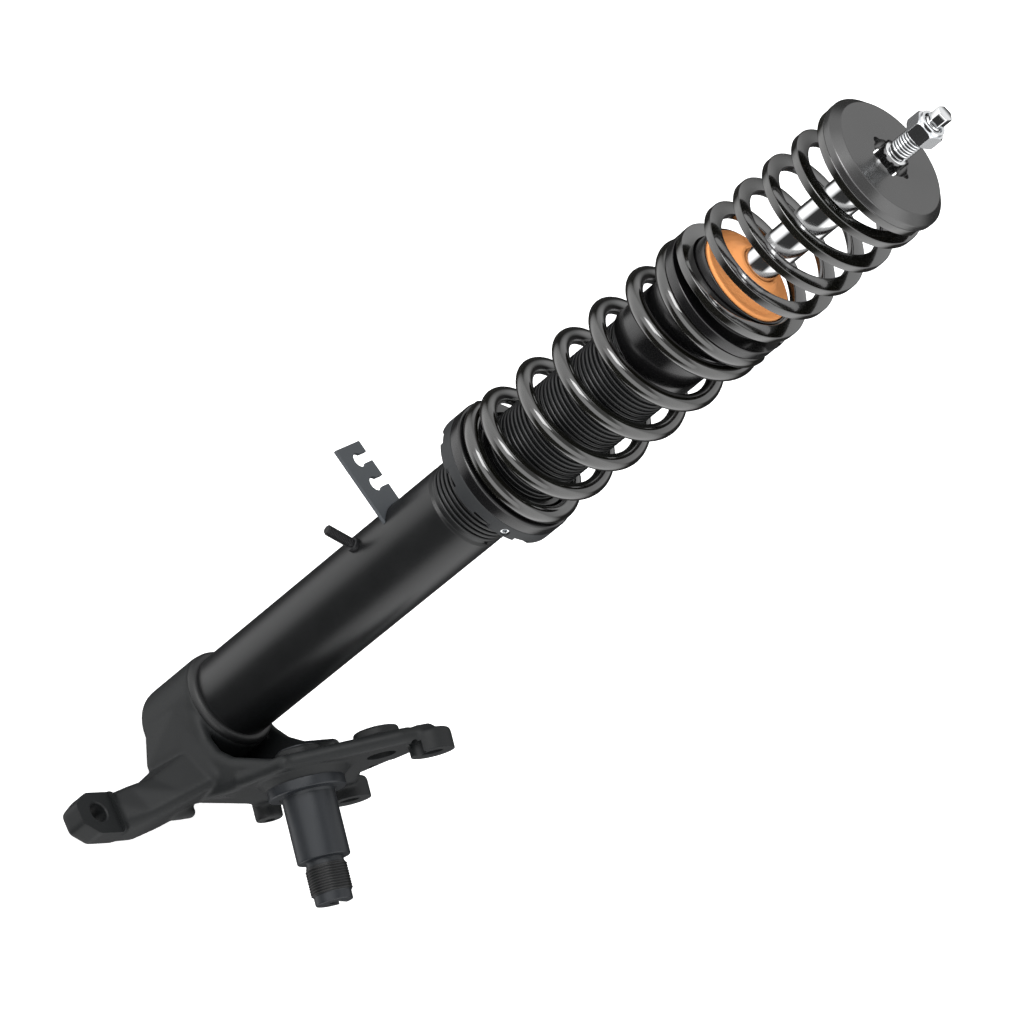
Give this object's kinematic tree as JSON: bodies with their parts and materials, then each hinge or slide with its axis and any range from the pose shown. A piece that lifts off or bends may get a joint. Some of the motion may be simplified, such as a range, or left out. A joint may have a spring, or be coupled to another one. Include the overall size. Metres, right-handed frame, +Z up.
{
  "type": "strut assembly",
  "caption": "Coilover suspension strut with knuckle, stub axle, steering arm, threaded damper tube, height collar, main and helper springs, top plate and piston rod.",
  "frame": {"origin": "on the strut axis, at the knuckle's bottom face, in the mouth of the ball joint bore", "axes": "+Z up the strut axis towards the piston rod, +X towards the wheel side, where the stub axle points, +Y away from the steering arm"},
  "size_m": [0.2009, 0.188, 0.627],
  "materials": {
    "forged_black": "black coated forging, satin",
    "machined_black": "machined steel under a thin black finish, satin",
    "tube_black": "black powder coat, satin",
    "weld_black": "painted weld bead, satin",
    "bracket_black": "black coated sheet steel, satin",
    "black_zinc": "black zinc plate, satin",
    "anodised_black": "black anodised, gloss",
    "collar_grey": "dark anodised, matte",
    "spring_black": "gloss black powder coat",
    "plate_grey": "dark grey anodised, smooth",
    "orange_foam": "cellular polyurethane, matte",
    "chromed_rod": "hard chrome, ground",
    "zinc_plate": "bright zinc plate",
    "plain_steel": "drawn steel, bare",
    "sintered_steel": "sintered iron, bare",
    "spring_steel": "blued strip, ground",
    "cast_aluminium": "cast and turned",
    "bronze": "bronze backed bearing strip",
    "rubber": "nitrile, matte"
  },
  "bodies": {
    "housing": {"knuckle": "forged_black", "stub_axle": "machined_black", "strut_tube": "tube_black", "tube_weld": "weld_black", "tube_base": "plain_steel", "threaded_stud": "black_zinc", "hose_bracket": "bracket_black", "inner_tube": "plain_steel", "foot_valve": "sintered_steel", "foot_valve_shims": "spring_steel", "rod_guide": "cast_aluminium", "guide_bush": "bronze", "guide_o_ring": "rubber", "rod_seal": "rubber", "cap_nut": "anodised_black", "bump_stop": "orange_foam"},
    "seat": {"spring_seat": "anodised_black", "main_spring": "spring_black"},
    "collar": {"adjuster_collar": "collar_grey", "grub_screw": "zinc_plate"},
    "coupler": {"spring_coupler": "anodised_black", "helper_spring": "spring_black"},
    "top": {"top_plate": "plate_grey"},
    "rod": {"piston_rod": "chromed_rod", "rebound_stop": "rubber", "piston": "sintered_steel", "piston_ring": "bronze", "piston_shims": "spring_steel", "piston_nut": "zinc_plate", "top_nut": "zinc_plate"}
  },
  "joints": [
    {"name": "top_slide", "type": "slide", "parent": "housing", "child": "top", "axis": [0, 0, 1], "range_m": [-0.085, 0], "stiffness_N_per_m": 9000, "springref_m": 0.01, "deforming": ["helper_spring"]},
    {"name": "rod_turn", "type": "hinge", "parent": "top", "child": "rod", "pos_m": [0, 0, 0.58], "axis": [0, 0, 1], "continuous": true},
    {"name": "seat_height", "type": "slide", "parent": "housing", "child": "seat", "axis": [0, 0, 1], "range_m": [-0.012, 0]},
    {"name": "collar_turn", "type": "hinge", "parent": "seat", "child": "collar", "pos_m": [0, 0, 0.279], "axis": [0, 0, 1], "range_deg": [-1440, 0]},
    {"name": "coupler_slide", "type": "slide", "parent": "seat", "child": "coupler", "axis": [0, 0, 1], "range_m": [-0.026, 0], "deforming": ["main_spring"]}
  ],
  "couplings": [
    {"joint": "collar_turn", "follows": "seat_height", "rad_per_m": 2094.4},
    {"joint": "coupler_slide", "follows": "top_slide", "ratio": 0.3}
  ]
}
